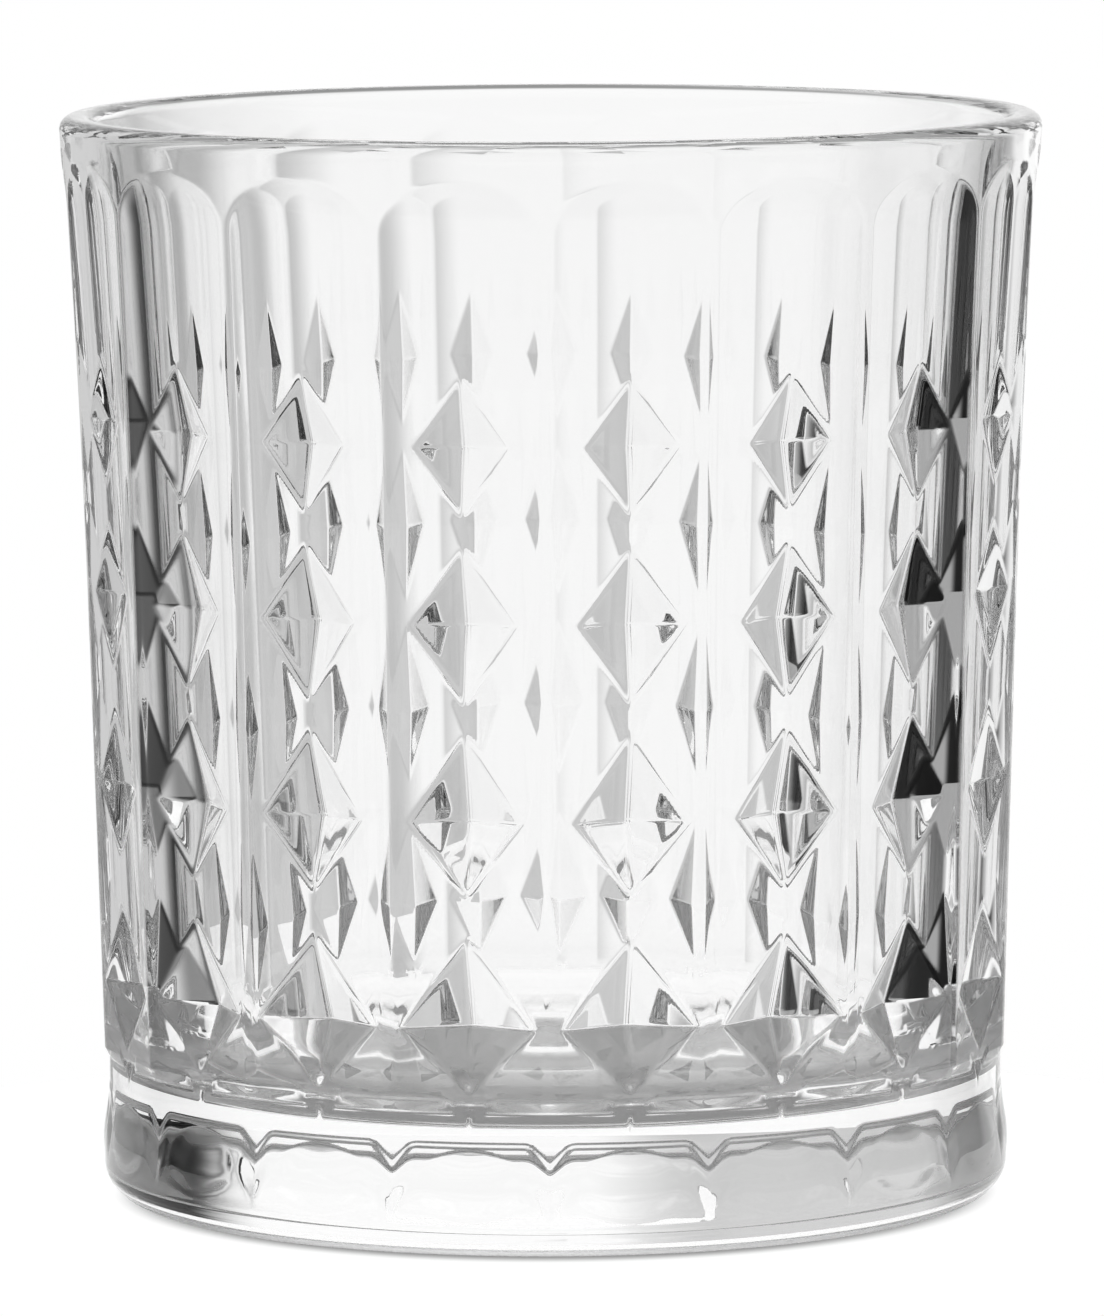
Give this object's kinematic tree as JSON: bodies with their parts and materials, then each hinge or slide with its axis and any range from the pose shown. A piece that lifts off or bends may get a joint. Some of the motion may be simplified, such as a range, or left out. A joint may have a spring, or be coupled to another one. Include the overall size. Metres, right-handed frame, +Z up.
{
  "type": "whiskey tumbler",
  "caption": "Clear pressed-glass tumbler with a thick base, a plain rounded rim and a wall of flat panels with columns of sunk diamonds.",
  "frame": {"origin": "centre of the underside, in the plane the tumbler rests on", "axes": "+Z up along the tumbler's axis, -Y towards the viewer of the picture, +X to the viewer's right"},
  "size_m": [0.084, 0.084, 0.093],
  "materials": {
    "base_glass": "clear, smooth, fire polished",
    "wall_glass": "clear, pressed facets with softened edges",
    "rim_glass": "clear, smooth, fire polished"
  },
  "bodies": {
    "root": {"base": "base_glass", "panelled_wall": "wall_glass", "rim": "rim_glass"}
  },
  "joints": []
}
